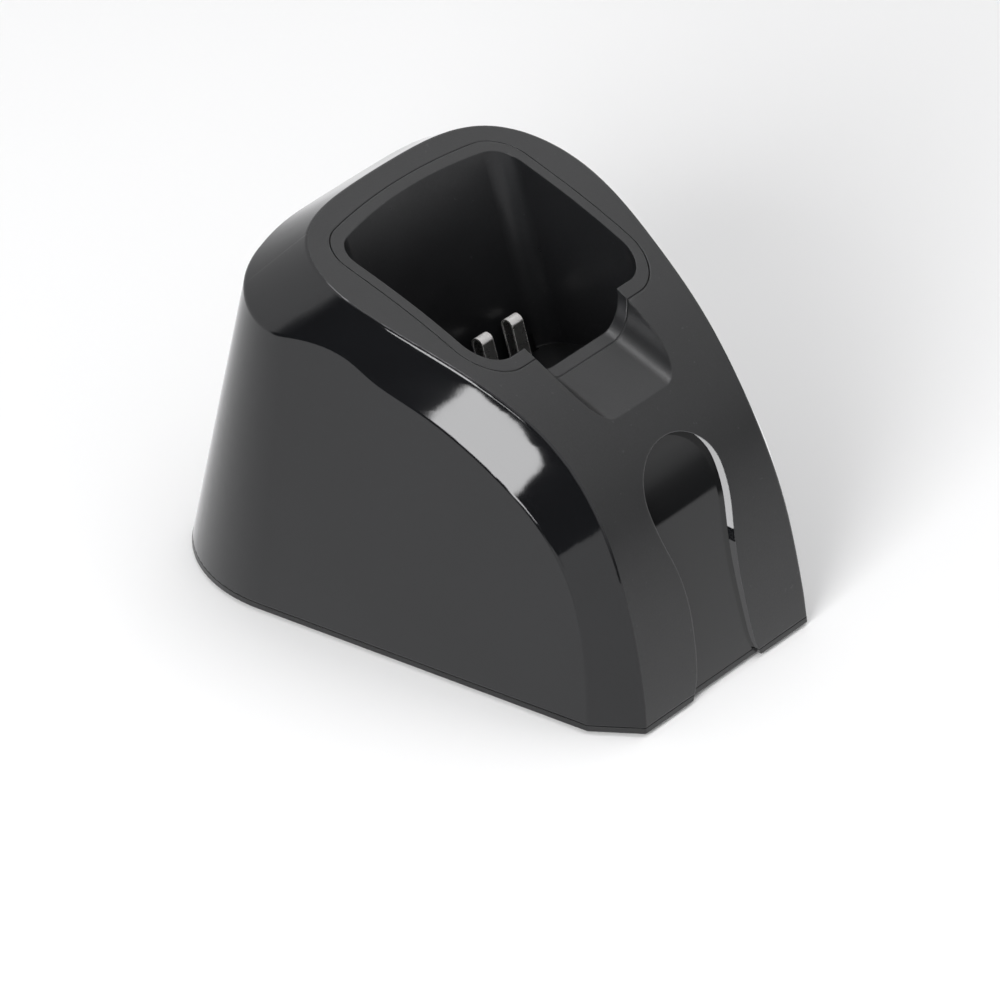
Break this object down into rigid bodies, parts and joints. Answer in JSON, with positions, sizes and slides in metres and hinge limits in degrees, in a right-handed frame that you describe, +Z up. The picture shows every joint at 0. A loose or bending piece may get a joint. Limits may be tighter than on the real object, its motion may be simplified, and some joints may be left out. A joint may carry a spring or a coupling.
{
  "type": "desktop charging cradle for a portable two-way radio",
  "caption": "Black desktop charging cradle for a portable radio: one leaning pocket with spring contacts, thumb notch and keyhole face on a wedge-shaped stand",
  "frame": {"origin": "on the table plane under the middle of the footprint", "axes": "+Z up, +Y towards the back wall with the power jack, +X to the right of someone facing the front"},
  "size_m": [0.0974, 0.1333, 0.0909],
  "materials": {
    "housing": "glossy side walls and bevel, satin textured deck",
    "cup": "satin textured",
    "window": "polished",
    "base": "textured",
    "foot_rubber": "matt",
    "screw_steel": "zinc plated",
    "contact_nickel": "nickel plated",
    "carrier_plastic": "moulded",
    "board": "solder resist",
    "component_black": "moulded",
    "inductor_ferrite": "ferrite",
    "can_aluminium": "drawn can",
    "resistor_body": "glazed",
    "ceramic_body": "fired ceramic",
    "led_lens": "diffused",
    "lead_red": "PVC",
    "lead_black": "PVC",
    "lead_grey": "PVC"
  },
  "bodies": {
    "cradle": {"upper_housing": "housing", "pocket_cup": "cup", "front_window": "window", "base_plate": "base", "rubber_foot_front_right": "foot_rubber", "rubber_foot_front_left": "foot_rubber", "rubber_foot_rear_right": "foot_rubber", "rubber_foot_rear_left": "foot_rubber", "housing_screws": "screw_steel", "cup_screws": "screw_steel", "board_screws": "screw_steel", "carrier_screws": "screw_steel", "contact_carrier": "carrier_plastic", "circuit_board": "board", "dc_power_jack": "component_black", "charge_controller_chip": "component_black", "power_transistor": "component_black", "rectifier_diode": "component_black", "power_inductor": "inductor_ferrite", "electrolytic_capacitor": "can_aluminium", "chip_resistors": "resistor_body", "chip_capacitors": "ceramic_body", "status_led": "led_lens", "led_leads": "lead_grey", "wire_negative": "lead_black", "wire_positive": "lead_red"},
    "contact_negative": {"charge_contact_negative": "contact_nickel"},
    "contact_positive": {"charge_contact_positive": "contact_nickel"}
  },
  "joints": [
    {"name": "contact_negative_press", "type": "slide", "parent": "cradle", "child": "contact_negative", "axis": [0, -0.3007, -0.9537], "range_m": [0, 0.0018], "stiffness_N_per_m": 800},
    {"name": "contact_positive_press", "type": "slide", "parent": "cradle", "child": "contact_positive", "axis": [0, -0.3007, -0.9537], "range_m": [0, 0.0018], "stiffness_N_per_m": 800}
  ]
}
